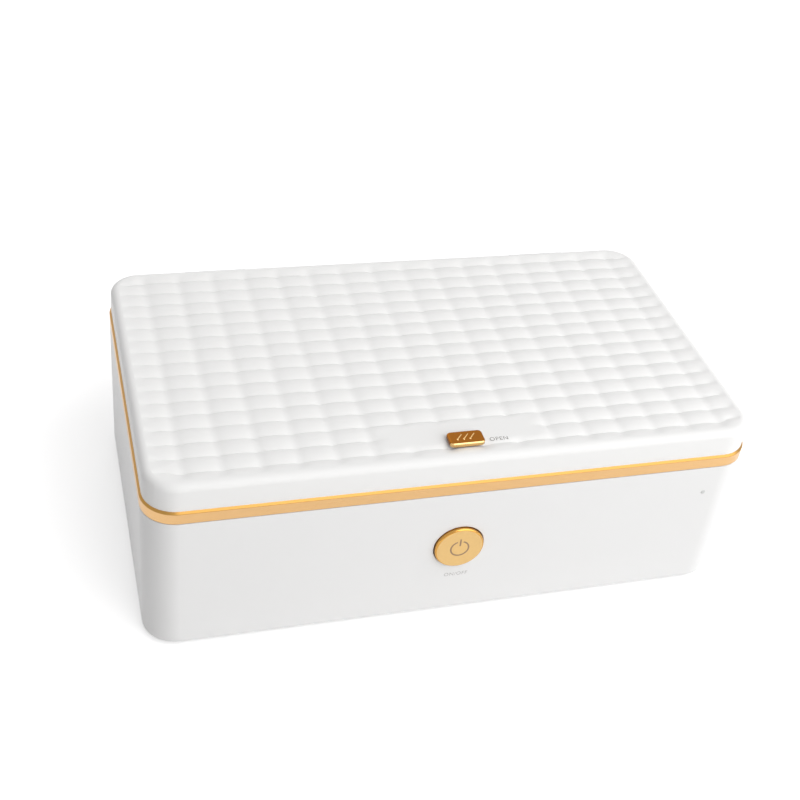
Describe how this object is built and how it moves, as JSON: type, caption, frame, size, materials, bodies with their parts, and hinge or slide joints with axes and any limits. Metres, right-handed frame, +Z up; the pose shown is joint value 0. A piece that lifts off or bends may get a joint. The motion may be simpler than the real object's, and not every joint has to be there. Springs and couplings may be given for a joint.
{
  "type": "uv ozone disinfection box",
  "caption": "Tabletop UV and ozone disinfection box with a quilted hinged lid, slider latch, gold rim band, push button and mirror-lined chamber.",
  "frame": {"origin": "bottom centre of the whole box's bounding box, on the surface it stands on", "axes": "+X along the length to the right seen from the front, +Y to the hinges at the rear, +Z up; the button faces -Y"},
  "size_m": [0.24, 0.1456, 0.0829],
  "materials": {
    "white_plastic": "satin white moulding",
    "quilted_plastic": "soft satin white, quilted relief",
    "gold": "satin champagne-gold anodised",
    "mirror_aluminium": "bright rolled reflector sheet",
    "zinc_steel": "zinc plated",
    "quartz": "clear quartz tube",
    "ceramic": "white lamp-holder material",
    "board": "green solder mask",
    "black_plastic": "black moulding",
    "ferrite": "dark ferrite core",
    "capacitor_sleeve": "shrink sleeve",
    "rubber": "grey rubber",
    "silicone": "white silicone",
    "lens": "smoked lens",
    "red_wire": "insulated wire"
  },
  "bodies": {
    "base": {"body_shell": "white_plastic", "trim_band": "gold", "bottom_cover": "white_plastic", "foot_front_left": "rubber", "foot_front_right": "rubber", "foot_rear_left": "rubber", "foot_rear_right": "rubber", "cover_screw_front_left": "zinc_steel", "cover_screw_front_right": "zinc_steel", "cover_screw_rear_left": "zinc_steel", "cover_screw_rear_right": "zinc_steel", "chamber_liner": "mirror_aluminium", "uv_lamp_front": "quartz", "uv_lamp_rear": "quartz", "lamp_holder_left": "ceramic", "lamp_holder_right": "ceramic", "lamp_reflector": "mirror_aluminium", "lamp_guard": "mirror_aluminium", "main_board": "board", "ballast_transformer": "ferrite", "smoothing_capacitor": "capacitor_sleeve", "dc_inlet": "black_plastic", "tact_switch": "black_plastic", "switch_board": "board", "board_screw_left": "zinc_steel", "board_screw_right": "zinc_steel", "status_lens": "lens", "status_led": "lens", "hinge_bracket_left": "white_plastic", "hinge_bracket_right": "white_plastic", "hinge_screw_left_1": "zinc_steel", "hinge_screw_left_2": "zinc_steel", "hinge_screw_right_1": "zinc_steel", "hinge_screw_right_2": "zinc_steel", "hinge_pin_left": "zinc_steel", "hinge_pin_right": "zinc_steel", "reed_sensor": "black_plastic", "latch_catch": "zinc_steel", "lamp_lead_left": "red_wire", "lamp_lead_right": "red_wire", "switch_lead": "red_wire", "sensor_lead": "red_wire"},
    "lid": {"lid_arm_left": "white_plastic", "lid_arm_right": "white_plastic", "lid_shell": "quilted_plastic", "lid_liner": "mirror_aluminium", "lid_screw_front_left": "zinc_steel", "lid_screw_front_right": "zinc_steel", "lid_screw_rear_left": "zinc_steel", "lid_screw_rear_right": "zinc_steel", "lid_seal": "silicone", "lid_magnet": "zinc_steel", "latch_spring": "zinc_steel"},
    "latch": {"latch_slider": "gold", "latch_hook": "zinc_steel"},
    "button": {"power_button": "gold", "switch_plunger": "black_plastic"}
  },
  "joints": [
    {"name": "lid_hinge", "type": "hinge", "parent": "base", "child": "lid", "pos_m": [0, 0.07005, 0.0696], "axis": [-1, 0, 0], "range_deg": [0, 105]},
    {"name": "latch_slide", "type": "slide", "parent": "lid", "child": "latch", "axis": [1, 0, 0], "range_m": [0, 0.0035], "stiffness_N_per_m": 150, "deforming": ["latch_spring"]},
    {"name": "power_press", "type": "slide", "parent": "base", "child": "button", "axis": [0, 1, 0], "range_m": [0, 0.0008], "stiffness_N_per_m": 1200}
  ]
}
